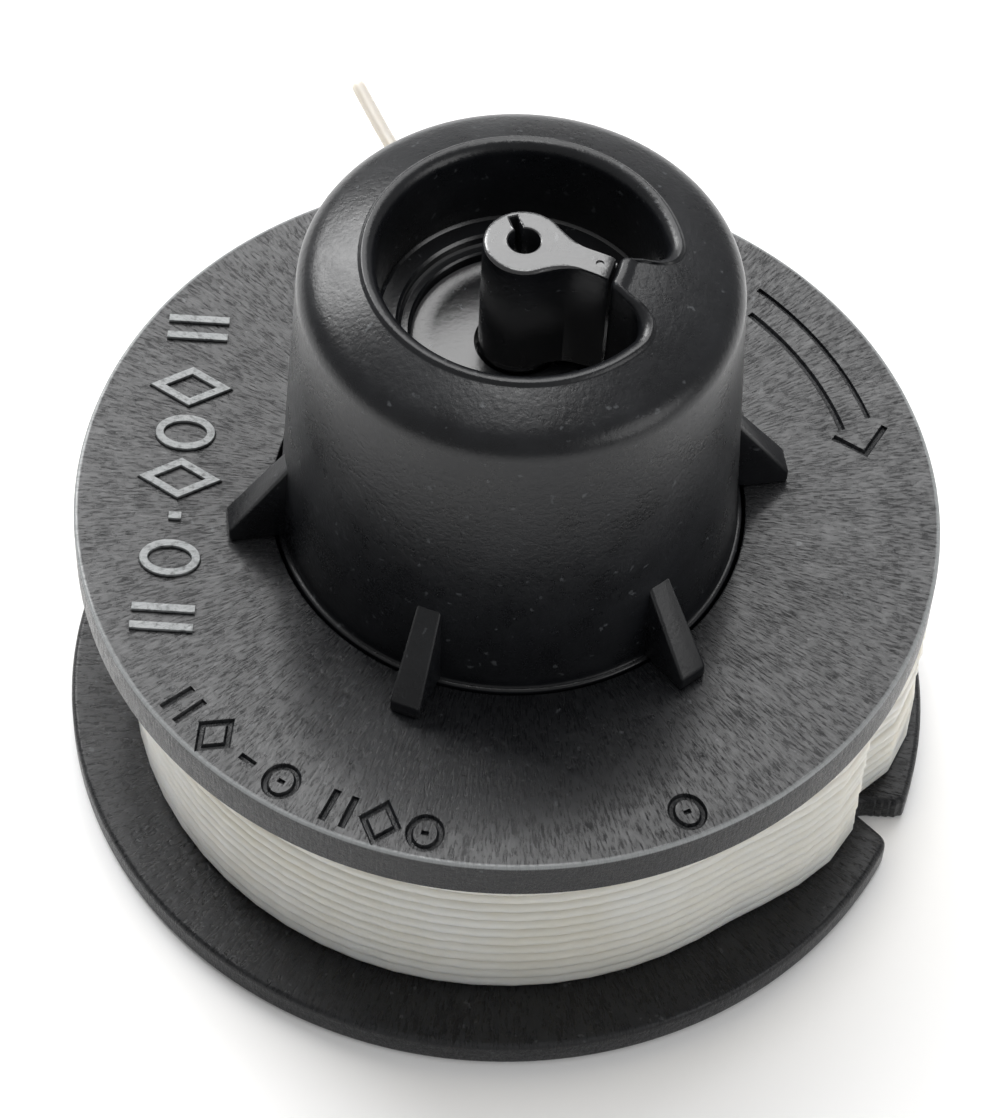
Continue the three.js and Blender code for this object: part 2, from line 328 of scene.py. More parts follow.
# A turned wall from a closed profile of (radius, height) points.
def turn(bm, profile, steps):
    verts = [bm.verts.new(Vector((radius, 0, height)) * mm) for radius, height in profile]
    edges = [bm.edges.new((verts[i - 1], verts[i])) for i in range(len(verts))]
    around = {"cent": (0, 0, 0), "axis": (0, 0, 1), "angle": math.tau, "steps": steps}
    bmesh.ops.spin(bm, geom=verts + edges, use_merge=True, use_duplicate=False, **around)


# A rounded corner of a profile, from one point to another around a third.
def bend(start, corner, end, steps):
    found = []
    for i in range(steps + 1):
        t = i / steps
        found.append(tuple(
            (1 - t) ** 2 * a + 2 * t * (1 - t) * b + t * t * c for a, b, c in zip(start, corner, end)
        ))
    return found


def cleaned(bm):
    bmesh.ops.remove_doubles(bm, verts=bm.verts, dist=1e-8)
    bmesh.ops.dissolve_degenerate(bm, edges=bm.edges, dist=1e-8)
    bmesh.ops.recalc_face_normals(bm, faces=bm.faces)


def asObject(bm, name):
    cleaned(bm)
    mesh = bpy.data.meshes.new(name)
    bm.to_mesh(mesh)
    bm.free()
    made = bpy.data.objects.new(name, mesh)
    bpy.context.scene.collection.objects.link(made)
    return made


# Joins a tool to a piece, or cuts it out, and keeps the result as the piece's own mesh.
def combine(piece, bm, operation):
    tool = asObject(bm, "tool")
    modifier = piece.modifiers.new("combine", "BOOLEAN")
    modifier.object, modifier.operation, modifier.solver = tool, operation, "EXACT"
    seen = piece.evaluated_get(bpy.context.evaluated_depsgraph_get())
    mesh = bpy.data.meshes.new_from_object(seen)
    piece.modifiers.clear()
    old, piece.data = piece.data, mesh
    bpy.data.meshes.remove(old)
    bpy.data.objects.remove(tool)


sharpAngle = 32  # degrees, above which an edge stays crisp


# Smooth faces with the sharp edges marked, then the material, the body and the CAD nodes it stands for.
def finishPiece(piece, material, nodes):
    bm = bmesh.new()
    bm.from_mesh(piece.data)
    bmesh.ops.remove_doubles(bm, verts=bm.verts, dist=1e-7)
    for face in bm.faces:
        face.smooth = True
    for edge in bm.edges:
        edge.smooth = edge.is_manifold and edge.calc_face_angle(0) < math.radians(sharpAngle)
    bm.to_mesh(piece.data)
    bm.free()
    piece.data.materials.clear()
    piece.data.materials.append(material)
    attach(piece, body)
    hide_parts(*nodes)


# The line is one length, from the drum's slot through every turn to the free end.
line = {
    "diameter": 1.3,
    "drumRadius": 25.9,
    "layers": 4,
    "turnsInLayer": 15.4,
    "stepsInTurn": 60,
    "room": 0.08,  # between the flanges and the turns beside them
    "layerClimb": 70,  # degrees that the line takes to climb onto the layer below
    "climbFrom": -14,  # degrees, where the last turn starts to climb over the others
    "climbOut": 1.15,
}

# How far the outer turns stand off those below, by direction, with a crease at the notch.
looseTurns = ((-52, 0), (-26, 2.5), (-19, 1.4), (-10, 4.0), (10, 4.0), (45, 2.9), (71, 1.4), (100, 0))

# Where the line's inner end lies in the drum, up to its first turn.
anchorRoute = [
    (21.2, 6.8, 3.7), (21.9, 8.2, 3.7), (22.3, 9.7, 3.7), (22.4, 11.3, 3.7),
    (22.3, 12.8, 3.7), (21.9, 14.4, 3.6), (21.2, 15.8, 3.5),
]

# Where the free end runs from the last turn to its cut tip.
tailRoute = [
    (10.7, 31.2, 13.4), (5.9, 33.2, 13.4), (1.4, 35.8, 13.3), (-2.7, 38.9, 13.3), (-6.5, 42.5, 13.1),
    (-9.8, 46.5, 12.9), (-12.6, 51.0, 12.7), (-15.0, 55.9, 12.5), (-16.4, 58.8, 12.5),
]


# How far an outer turn stands off in a direction.
def looseness(degrees):
    turned = (degrees + 180) % 360 - 180
    for (start, first), (end, second) in zip(looseTurns, looseTurns[1:]):
        if start <= turned < end:
            return first + (second - first) * ease((turned - start) / (end - start))
    return 0


# The middle of the line through all its turns, with each turn a little uneven.
def windingRoute():
    thick = line["diameter"]
    low, high = lowerTop + thick / 2 + line["room"], upperBottom - thick / 2 - line["room"]
    first = math.degrees(math.atan2(anchorRoute[-1][1], anchorRoute[-1][0])) + 3.5
    last = math.degrees(math.atan2(tailRoute[0][1], tailRoute[0][0]))
    inLayer = line["turnsInLayer"] * 360
    whole = round((line["layers"] * inLayer + first - last) / 360) * 360 + last - first
    steps = round(whole / 360 * line["stepsInTurn"])
    found = []
    for i in range(steps):
        degrees = whole * i / steps
        layer = min(int(degrees / inLayer), line["layers"] - 1)
        share = min((degrees - layer * inLayer) / inLayer, 1)
        height = low + (high - low) * (share if layer % 2 == 0 else 1 - share)
        climb = ease((degrees - layer * inLayer) / line["layerClimb"]) if layer else 1
        radius = line["drumRadius"] + thick * (layer - 0.5 + climb)
        radius += 0.02 + 0.05 * noise.noise(Vector((degrees / 200, layer * 3.1, 0.4)))
        height += 0.09 * noise.noise(Vector((degrees / 150, layer * 5.3, 7.7)))
        if layer == line["layers"] - 1:
            uneven = 1 + 0.12 * noise.noise(Vector((degrees / 90, 2, 5)))
            radius += looseness(first + degrees) * uneven
        climbed = 1 - (whole - degrees) / (last - line["climbFrom"])
        height += (tailRoute[0][2] - height) * ease(climbed)
        radius += line["climbOut"] * ease(climbed * 3.5)
        height = min(max(height, low - 0.03), high + 0.03)
        found.append((*polar(radius, first + degrees), height))
    return found


# Points between the ones given, on a smooth curve through them all.
def smoothRoute(route, parts):
    points = [Vector(point) for point in route]
    points = [points[0] * 2 - points[1], *points, points[-1] * 2 - points[-2]]
    found = []
    for before, start, end, after in zip(points, points[1:], points[2:], points[3:]):
        for i in range(parts):
            t = i / parts
            found.append(0.5 * (
                2 * start + (end - before) * t + (2 * before - 5 * start + 4 * end - after) * t * t
                + (3 * start - before - 3 * end + after) * t ** 3
            ))
    return [*found, points[-2]]


def makeLine():
    winding = [Vector(point) for point in windingRoute()]
    inner = smoothRoute([*anchorRoute, winding[2]], 4)[:-1]
    outer = smoothRoute([winding[-3], *tailRoute], 5)[1:]
    route = [*inner, *winding[2:-2], *outer]
    data = bpy.data.curves.new("trimmer_line", "CURVE")
    data.dimensions = "3D"
    data.bevel_depth = line["diameter"] / 2 * mm
    data.bevel_resolution = 3
    data.use_fill_caps = True
    spline = data.splines.new("POLY")
    spline.points.add(len(route) - 1)
    for point, place in zip(spline.points, route):
        point.co = (*(place * mm), 1)
    spline.use_smooth = True
    piece = bpy.data.objects.new("trimmer_line", data)
    bpy.context.scene.collection.objects.link(piece)
    data.materials.append(lineNylon("lineNylon"))
    length = sum((b - a).length for a, b in zip(route, route[1:])) * mm
    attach(piece, body)
    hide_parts("line_winding", "line_tail", "line_anchor_end")
    print(f"line wound: {length:.2f} m, {len(route)} points")


makeLine()


hub = {
    "footRadius": 18.45,
    "footBead": 0.06,  # how far the ring round the foot stands above the flange
    "shoulderRadius": 17.0,
    "shoulderHeight": 26.3,  # above the upper flange, as are the heights below
    "ledgeHeight": 22.0,
    "floorHeight": 20.0,
    "domeRadius": 38.0,  # the curve of the domed top
    "domeEdge": 15.4,  # where the dome rolls over into the shoulder
    "wall": 2.0,
    "pocketRadius": 11.0,
    "lip": 0.95,  # the round of the pocket's edge
    "webLip": 0.4,  # the same on the web
    "lipBead": 0.17,  # how far the pocket's edge stands up
    "ledge": 9.2,  # inside this radius the pocket drops to its floor
    "step": 8.3,
    "floorThickness": 2.0,
    "skirtRadius": 18.9,
    "beadRadius": 20.1,  # the snap bead at the skirt's end
    "postHole": 3.4,
}

# The web that reaches into the pocket from its right side.
web = {
    "middle": -14.0,  # degrees
    "halfAngle": 14.0,
    "tipHalfAngle": 12.6,
    "tipRadius": 7.15,
    "fillet": 2.0,
    "tipRound": 0.8,
}

# The fins round the hub's foot.
gusset = {
    "count": 6,
    "turn": 12.0,  # degrees
    "thickness": 2.6,  # at the foot
    "topThickness": 1.8,
    "outer": 22.8,
    "innerHeight": 7.4,
    "outerHeight": 1.3,
    "round": 0.26,
}

# The part of the hub that goes down through the flanges and the drum, hidden below.
skirt = {
    "slots": 6,
    "slotWidth": 1.6,
    "slotTop": 11.0,
    "dogs": 8,
    "dogWidth": 3.0,
    "dogDepth": 2.0,
    "dogHeight": 9.0,
    "dogRound": 0.3,
}


# The height of the hub's domed top.
def domeAt(radius):
    return hubTop - hub["domeRadius"] + math.sqrt(hub["domeRadius"] ** 2 - radius ** 2)


# The pocket's edge seen from above, anticlockwise, and how much lip each point of it has.
def pocketOutline():
    start = web["middle"] - web["halfAngle"]
    end = web["middle"] + web["halfAngle"]
    reach = hub["pocketRadius"] - web["fillet"]
    spread = math.degrees(math.asin(web["fillet"] / reach))
    tipStart, tipEnd = web["middle"] - web["tipHalfAngle"], web["middle"] + web["tipHalfAngle"]
    near = web["tipRadius"]
    turn = math.degrees(web["tipRound"] / near)
    side = near + web["tipRound"]
    wide = arc((0, 0), hub["pocketRadius"], end + spread, start - spread + 360, 200)
    inward = arc(polar(reach, start - spread), web["fillet"], start - spread, start + 90, 14)[1:]
    entry = bend(polar(side, tipStart), polar(near, tipStart), polar(near, tipStart + turn), 5)
    tip = arc((0, 0), near, tipStart + turn, tipEnd - turn, 8)[1:-1]
    leave = bend(polar(near, tipEnd - turn), polar(near, tipEnd), polar(side, tipEnd), 5)
    outward = arc(polar(reach, end + spread), web["fillet"], end - 90, end + spread, 14)[:-1]
    points = [*wide, *inward, *entry, *tip, *leave, *outward]
    flared = 9  # points of each fillet that keep the full lip
    lips = [hub["lip"]] * (len(wide) + flared)
    lips += [hub["webLip"]] * (len(points) - len(lips) - flared)
    lips += [hub["lip"]] * flared
    for _ in range(12):
        lips = [(lips[i - 1] + lips[i] * 2 + lips[(i + 1) % len(lips)]) / 4 for i in range(len(lips))]
    return [Vector(point) for point in points], lips


# The outward direction at each point of a closed outline that runs anticlockwise round a hole.
def outwards(points):
    found = []
    for i, point in enumerate(points):
        along = points[(i + 1) % len(points)] - points[i - 1]
        found.append(Vector((along.y, -along.x)).normalized())
    return found


# The hub's wall as loops: from the pocket's floor up over the dome, down outside, and back up inside.
def hubLoops():
    outline, lips = pocketOutline()
    normals = outwards(outline)
    aims = [point.normalized() for point in outline]
    ledge, floor = upperTop + hub["ledgeHeight"], upperTop + hub["floorHeight"]
    shoulder = upperTop + hub["shoulderHeight"]
    under = floor - hub["floorThickness"]

    def ring(radius, height):
        return [(aim.x * radius, aim.y * radius, height) for aim in aims]

    # A loop no wider than a radius that stays just inside the pocket's edge.
    def inside(radius, height, room):
        reach = [min(radius, point.length - room) for point in outline]
        return [(aim.x * r, aim.y * r, height) for aim, r in zip(aims, reach)]

    edge = [point + normal * lip for point, normal, lip in zip(outline, normals, lips)]
    loops = [ring(hub["postHole"], floor)]
    loops += [inside(radius, floor, 0.12) for radius in (5.0, 6.6, hub["step"] - 0.25)]
    loops += [inside(hub["step"], floor + 0.15, 0.1), inside(hub["step"] + 0.05, floor + 0.95, 0.09)]
    loops += [inside(hub["step"] + 0.2, floor + 1.1, 0.08)]
    loops += [inside(hub["ledge"] - 0.2, floor + 1.1, 0.07)]
    loops += [inside(hub["ledge"], floor + 1.25, 0.06), inside(hub["ledge"] + 0.05, ledge - 0.2, 0.05)]
    loops += [inside(hub["ledge"] + 0.25, ledge, 0.04), inside(hub["pocketRadius"] - 0.3, ledge, 0.03)]
    loops += [inside(hub["pocketRadius"] - 0.1, ledge + 0.2, 0.02)]
    for i in range(7):
        swing = math.radians(90 * i / 6)
        loop = []
        for point, normal, lip, far in zip(outline, normals, lips, edge):
            flat = point + normal * lip * (1 - math.cos(swing))
            crown = hub["lipBead"] * math.sin(swing) ** 2 * 0.8
            loop.append((flat.x, flat.y, domeAt(far.length) - lip * (1 - math.sin(swing)) + crown))
        loops.append(loop)
    for share, raised in ((0.03, 1), (0.055, 0.9), (0.09, 0.3), (0.11, 0.04), (0.125, 0), (0.14, 0)):
        flats = [far.lerp(aim * hub["domeEdge"], share) for far, aim in zip(edge, aims)]
        bead = hub["lipBead"] * raised
        loops.append([(flat.x, flat.y, domeAt(flat.length) + bead) for flat in flats])
    for i in range(2, 9):
        flats = [far.lerp(aim * hub["domeEdge"], i / 8) for far, aim in zip(edge, aims)]
        loops.append([(flat.x, flat.y, domeAt(flat.length)) for flat in flats])
    slope = hub["domeEdge"] / hub["domeRadius"]
    top = (hub["domeEdge"], domeAt(hub["domeEdge"]))
    corner = (hub["shoulderRadius"] - 0.07, top[1] - (hub["shoulderRadius"] - top[0]) * slope * 1.08)
    for radius, height in bend(top, corner, (hub["shoulderRadius"], shoulder), 9)[1:]:
        loops.append(ring(radius, height))
    foot = upperTop + 0.3
    for i in range(1, 9):
        share = i / 8
        radius = hub["shoulderRadius"] + (hub["footRadius"] - hub["shoulderRadius"]) * share
        loops.append(ring(radius, shoulder + (foot - shoulder) * share))
    rootRadius, ledgeUp = hub["skirtRadius"], upperTop + hub["footBead"]
    loops += [ring(hub["footRadius"] + 0.02, ledgeUp + 0.1), ring(hub["footRadius"] + 0.1, ledgeUp)]
    rounded = bend((rootRadius - 0.32, ledgeUp), (rootRadius, ledgeUp), (rootRadius, ledgeUp - 0.34), 6)
    loops += [ring(radius, height) for radius, height in rounded]
    bead, inner = hub["beadRadius"], hub["skirtRadius"] - hub["wall"]
    cavityTop, cavityOuter = shoulder - 0.5, hub["shoulderRadius"] - hub["wall"]
    cavityInner = hub["pocketRadius"] + 1.8
    low = hubLow.z
    below = [
        (rootRadius, upperTop - 0.5), (rootRadius, low + 0.9), (rootRadius + 0.2, low + 0.7),
        (bead - 0.1, low + 0.7), (bead, low + 0.6), (bead, low + 0.35), (bead - 0.35, low),
        (inner + 0.2, low), (inner, low + 0.2), (inner, upperTop - 2),
        (hub["footRadius"] - hub["wall"], upperTop + 1),
        (cavityOuter, cavityTop - 0.3), (cavityOuter - 0.3, cavityTop), (cavityInner + 0.3, cavityTop),
        (cavityInner, cavityTop - 0.3), (cavityInner, under + 0.2), (cavityInner - 0.2, under),
        (hub["postHole"], under), (hub["postHole"], floor),
    ]
    loops += [ring(radius, height) for radius, height in below]
    return loops


# A block along a radius, from its outline of (radius, height) points, with rounded edges and a draft.
def radialBlock(bm, outline, thickness, degrees, rounded=0.0, topThickness=None):
    across = Vector((*polar(1, degrees + 90), 0))
    verts = [
        bm.verts.new(Vector((*polar(radius, degrees), height)) * mm - across * thickness / 2 * mm)
        for radius, height in outline
    ]
    made = bmesh.ops.extrude_face_region(bm, geom=[bm.faces.new(verts)])["geom"]
    moved = [item for item in made if isinstance(item, bmesh.types.BMVert)]
    bmesh.ops.translate(bm, verts=moved, vec=across * thickness * mm)
    lows = min(height for radius, height in outline)
    highs = max(height for radius, height in outline)
    draft = 1 - (topThickness or thickness) / thickness
    for vert in verts + moved:
        share = (vert.co.z / mm - lows) / (highs - lows)
        vert.co -= across * across.dot(vert.co) * draft * share
    if rounded:
        edges = list({edge for vert in verts + moved for edge in vert.link_edges})
        rounding = {"segments": 3, "profile": 0.5, "affect": "EDGES", "material": -1}
        bmesh.ops.bevel(bm, geom=edges, offset=rounded * mm, **rounding)


# The gussets start inside the hub's wall, so that the join leaves no gap.
def gussets():
    bm = bmesh.new()
    foot, buried = upperTop + 0.03, hub["shoulderRadius"] - 0.5
    slope = (gusset["innerHeight"] - gusset["outerHeight"]) / (gusset["outer"] - hub["footRadius"])
    outline = [
        (buried, foot), (gusset["outer"], foot), (gusset["outer"], upperTop + gusset["outerHeight"]),
        (buried, upperTop + gusset["outerHeight"] + slope * (gusset["outer"] - buried)),
    ]
    for i in range(gusset["count"]):
        turned = gusset["turn"] + 360 / gusset["count"] * i
        radialBlock(bm, outline, gusset["thickness"], turned, gusset["round"], gusset["topThickness"])
    return bm


def rectangle(inner, outer, low, high):
    return [(inner, low), (outer, low), (outer, high), (inner, high)]


# Drive dogs inside the skirt.
def dogs():
    bm = bmesh.new()
    inner = hub["skirtRadius"] - hub["wall"]
    low = skirt["slotTop"] + 2
    outline = rectangle(inner - skirt["dogDepth"], inner + 0.4, low, low + skirt["dogHeight"])
    for i in range(skirt["dogs"]):
        radialBlock(bm, outline, skirt["dogWidth"], 360 / skirt["dogs"] * (i + 0.5), skirt["dogRound"])
    return bm


def skirtSlots():
    bm = bmesh.new()
    inner, outer = hub["skirtRadius"] - hub["wall"] - 1, hub["beadRadius"] + 1
    outline = rectangle(inner, outer, -1, skirt["slotTop"])
    for i in range(skirt["slots"]):
        radialBlock(bm, outline, skirt["slotWidth"], 360 / skirt["slots"] * (i + 0.5))
    return bm


def makeHub():
    bm = bmesh.new()
    skin(bm, hubLoops())
    piece = asObject(bm, "hub_body")
    combine(piece, gussets(), "UNION")
    combine(piece, dogs(), "UNION")
    combine(piece, skirtSlots(), "DIFFERENCE")
    pocket = (hub["pocketRadius"] * mm, (upperTop + hub["ledgeHeight"] + 0.5) * mm)
    finishPiece(piece, hubNylon("hubNylon", "hub", pocket), ["hub"])
    print("hub made", len(piece.data.polygons))


makeHub()


post = {
    "radius": 3.1,
    "boreRadius": 1.2,
    "boreDepth": 3.2,
    "slotTurn": 112.0,  # degrees
    "slotHalfWidth": 0.3,
    "slotReach": 2.45,
    "collarRadius": 6.0,
    "collarHeight": 2.0,
    "lowerBore": 1.6,
    "ribTip": 6.85,
    "ribRoot": 1.9,  # where the rib's sides leave the post
    "ribNeck": 5.0,  # where they become parallel
    "ribHalfWidth": 1.05,
    "ribDepth": 11.3,
    "shelf": 0.55,  # how far the rib's lower part stands out on its far side
    "dimpleReach": 5.9,  # from the axis to the dimple near the rib's end
    "dimpleRadius": 0.3,
    "dimpleDepth": 0.12,
}


# Half the rib's width at a distance from the axis.
def ribHalf(reach):
    root, neck = post["ribRoot"], post["ribNeck"]
    wide = math.sqrt(post["radius"] ** 2 - root ** 2)
    t = min(max((reach - root) / (neck - root), 0), 1)
    slope = -root / wide * (neck - root)
    return (
        (2 * t ** 3 - 3 * t * t + 1) * wide + (t ** 3 - 2 * t * t + t) * slope
        + (3 * t * t - 2 * t ** 3) * post["ribHalfWidth"]
    )


# How far the post and rib reach in a direction that is some degrees off the rib's middle.
def ribReach(degrees, wider=0.0):
    off = math.radians(abs(degrees))
    if off >= math.acos(post["ribRoot"] / post["radius"]):
        return post["radius"]
    near, far = post["ribRoot"], post["ribTip"]
    for _ in range(40):
        middle = (near + far) / 2
        extra = wider * ease((middle - 2.4) / 1.4)
        if (ribHalf(middle) + extra) / middle > math.tan(off):
            near = middle
        else:
            far = middle
    return max(near / math.cos(off), post["radius"])


# How far the bore and its key slot reach in a direction that is some degrees off the slot's middle.
def boreReach(degrees, spare):
    off = math.radians(abs(degrees))
    half, reach = post["slotHalfWidth"] + spare, post["boreRadius"] + spare
    if off < math.asin(half / reach):
        return min((post["slotReach"] + spare) / math.cos(off), half / max(math.sin(off), 1e-6))
    return reach


def turnedFrom(degrees, middle):
    return (degrees - middle + 180) % 360 - 180


# Every direction that the post's loops have a point in, closer together at the rib and the key slot.
def postDirections():
    found = [degrees * 2.0 for degrees in range(180)]
    found += [web["middle"] + degrees * 0.6 for degrees in range(-70, 71)]
    found += [post["slotTurn"] + degrees * 0.8 for degrees in range(-26, 27)]
    return sorted({round(degrees % 360, 2) for degrees in found})


# The post as loops: out of the bore, over the top, down past the rib and the collar, and up inside.
def postLoops():
    directions = postDirections()

    def ring(radius, height):
        return [(*polar(radius, degrees), height) for degrees in directions]

    def bore(spare, height):
        reaches = [boreReach(turnedFrom(d, post["slotTurn"]), spare) for d in directions]
        return [(*polar(reach, d), height) for reach, d in zip(reaches, directions)]

    def outer(inset, height, shelf=0.0):
        found = []
        for d in directions:
            off = turnedFrom(d, web["middle"])
            reach = ribReach(off, shelf if off > 0 else 0.0) - inset
            found.append((*polar(reach, d), height))
        return found

    def between(first, second, share):
        return [Vector(a).lerp(Vector(b), share) for a, b in zip(first, second)]

    def domed(loop, drop=0.0):
        return [(x, y, domeAt(math.hypot(x, y)) - drop) for x, y, z in loop]

    deep = hubTop - post["boreDepth"]
    mouth = bore(0.14, hubTop)
    rim = outer(0.26, hubTop)
    loops = [ring(0.25, deep), ring(0.8, deep - 0.1), bore(-0.05, deep), bore(0, deep + 0.1)]
    loops += [bore(0, hubTop - 0.16), bore(0.05, hubTop - 0.05), mouth]
    loops += [domed(between(mouth, rim, share / 8)) for share in range(1, 9)]
    for inset, drop in ((0.17, 0.03), (0.08, 0.09), (0.02, 0.18), (0, 0.28)):
        loops.append(domed(outer(inset, hubTop), drop))
    ribBottom = hubTop - post["ribDepth"]
    loops += [domed(outer(0, hubTop), 1.1), domed(outer(0, hubTop, post["shelf"]), 1.2)]
    loops += [outer(0, ribBottom + 0.2, post["shelf"]), outer(0.2, ribBottom, post["shelf"])]
    loops += [ring(post["radius"], ribBottom - 0.3)]
    collarTop = upperTop + hub["floorHeight"] - 2.3
    collarBottom = collarTop - post["collarHeight"]
    low = postLow.z
    below = [
        (post["radius"], upperTop + hub["floorHeight"]), (post["radius"], collarTop),
        (post["collarRadius"] - 0.2, collarTop), (post["collarRadius"], collarTop - 0.2),
        (post["collarRadius"], collarBottom + 0.2), (post["collarRadius"] - 0.2, collarBottom),
        (post["radius"] + 0.3, collarBottom), (post["radius"], collarBottom - 0.3),
        (post["radius"], low + 0.3), (post["radius"] - 0.3, low), (post["lowerBore"] + 0.2, low),
        (post["lowerBore"], low + 0.2), (post["lowerBore"], deep - 2), (0.25, deep - 2),
    ]
    return loops + [ring(radius, height) for radius, height in below]


def makePost():
    bm = bmesh.new()
    skin(bm, postLoops(), capped=True)
    piece = asObject(bm, "post_and_rib")
    dimple = bmesh.new()
    reach, wide = post["dimpleReach"], post["dimpleRadius"]
    foot, top = domeAt(reach) - post["dimpleDepth"], domeAt(reach) + 0.3
    turn(dimple, [(0.001, foot), (wide, foot), (wide * 1.4, top), (0.001, top)], 20)
    away = Vector((*polar(reach, web["middle"]), 0)) * mm
    bmesh.ops.translate(dimple, verts=dimple.verts, vec=away)
    combine(piece, dimple, "DIFFERENCE")
    finishPiece(piece, hubNylon("postNylon", "post"), ["centre_post"])
    print("post made", len(piece.data.polygons))


makePost()


upper = {
    "hole": 19.15,
    "round": 0.36,
    "footRound": 0.2,
    "holeRound": 0.14,
    "raised": 0.32,  # height of the raised marks
    "sunk": 0.3,  # depth of the sunk ones
    "markColumn": -26.6,  # x of the raised marks
    "markHalf": 2.5,  # half of a raised bar's length
    "markRow": 32.6,  # radius of the sunk marks
    "arrowInner": 28.55,
    "arrowOuter": 31.05,
    "steps": 288,
}

lower = {
    "hole": 19.2,
    "recessRadius": 20.6,  # the recess below, where the hub's bead snaps in
    "recessHeight": 1.4,
    "round": 0.5,
    "inside": 31.5,  # within this radius the notches don't reach
}

# The notches in the lower flange's rim.
notch = {
    "turns": (-20.0, 160.0),  # degrees
    "mouth": 4.1,
    "end": 1.0,
    "endRadius": 32.8,
    "endRound": 0.45,
    "cornerRound": 1.0,
    "teeth": 4,  # on the notch's worn side
}


# A raised or sunk stroke that follows a flat path, narrower at its top or at its foot.
def stroke(bm, path, footWidth, topWidth, low, high, closed=False):
    points = [Vector(point) for point in path]
    loops = []
    for i, point in enumerate(points):
        before = points[i - 1] if closed or i else point
        after = points[(i + 1) % len(points)] if closed or i < len(points) - 1 else point
        along = (after - before).normalized()
        side = Vector((-along.y, along.x))
        miter = 1.0
        if before != point and after != point:
            earlier = Vector((before.y - point.y, point.x - before.x)).normalized()
            miter = 1 / max(side.dot(earlier), 0.5)
        foot, top = side * footWidth / 2 * miter, side * topWidth / 2 * miter
        corners = ((point - foot, low), (point + foot, low), (point + top, high), (point - top, high))
        loops.append([(corner.x, corner.y, height) for corner, height in corners])
    if closed:
        loops.append(loops[0])
    skin(bm, loops, capped=not closed)


# An ellipse with that many corners, so that four of them make a diamond.
def oval(x, y, wide, tall, degrees, steps):
    found = []
    for i in range(steps):
        a, b = polar(wide, 360 * i / steps)[0], polar(tall, 360 * i / steps)[1]
        turned = Vector((a, b, 0))
        turned.rotate(Quaternion((0, 0, 1), math.radians(degrees)))
        found.append((x + turned.x, y + turned.y))
    return found


# A row of plain raised shapes on the left, where moulders put their marks.
def raisedMarks():
    bm = bmesh.new()
    heights = (upperTop - 0.5, upperTop + upper["raised"])
    column, half = upper["markColumn"], upper["markHalf"]

    def outline(y, sides, wide, tall):
        stroke(bm, oval(column, y, wide, tall, 0, sides), 1.15, 0.6, *heights, closed=True)

    def bar(y, reach):
        stroke(bm, [(column - reach, y), (column + reach, y)], 1.2, 0.65, *heights)

    for y in (14.8, 16.6, -13.0, -14.8):
        bar(y, half)
    for y in (9.4, -0.1):
        outline(y, 4, half + 0.2, 1.65)
    for y in (4.6, -8.1):
        outline(y, 28, half - 0.4, 1.45)
    bar(-3.9, 0.5)
    return bm


# A row of plain sunk shapes near the rim in front, and the sunk outline of the turning arrow.
def sunkMarks():
    bm = bmesh.new()
    low, high = upperTop - upper["sunk"], upperTop + 0.4
    middle, inner, outer = upper["markRow"], upper["arrowInner"], upper["arrowOuter"]

    def mark(path, closed=False, wide=1.05):
        stroke(bm, path, 0.28, wide, low, high, closed)

    def bar(degrees, reach=1.5):
        mark([polar(middle - reach, degrees), polar(middle + reach, degrees)])

    def outline(degrees, sides, wide, tall):
        mark(oval(*polar(middle, degrees), wide, tall, degrees, sides), closed=True)

    for degrees in (-139.2, -136.4, -111.9, -109.1):
        bar(degrees)
    for degrees in (-131.2, -104.6):
        outline(degrees, 4, 1.7, 1.35)
    for degrees in (-119.4, -98.4, -62.4):
        outline(degrees, 28, 1.4, 1.2)
        bar(degrees, 0.2)
    mark([polar(middle, -126.4), polar(middle, -123.8)])
    mark(arc((0, 0), inner, 47.5, 18.8, 24))
    mark(arc((0, 0), outer, 50.0, 20.0, 24), wide=0.75)
    mark([polar(outer + 1.05, 17.9), polar(29.75, 13.4), polar(inner - 0.95, 17.7)])
    return bm


# The upper flange's section, as (radius, height) points.
def upperProfile():
    outer, inner, soft = upperRadius, upper["hole"], upper["holeRound"]
    foot, rim = upper["footRound"], upper["round"]
    profile = bend((outer - foot, upperBottom), (outer, upperBottom), (outer, upperBottom + foot), 4)
    profile += bend((outer, upperTop - rim), (outer, upperTop), (outer - rim, upperTop), 6)
    profile += bend((inner + soft, upperTop), (inner, upperTop), (inner, upperTop - soft), 4)
    return profile + [(inner, upperBottom)]


def makeUpperFlange():
    bm = bmesh.new()
    turn(bm, upperProfile(), upper["steps"])
    piece = asObject(bm, "upper_disc")
    combine(piece, raisedMarks(), "UNION")
    combine(piece, sunkMarks(), "DIFFERENCE")
    material = flangeNylon("upperFlangeNylon", "upperGloss", upperTop * mm, upperRadius * mm)
    finishPiece(piece, material, ["upper_flange"])
    print("upper flange made", len(piece.data.polygons))


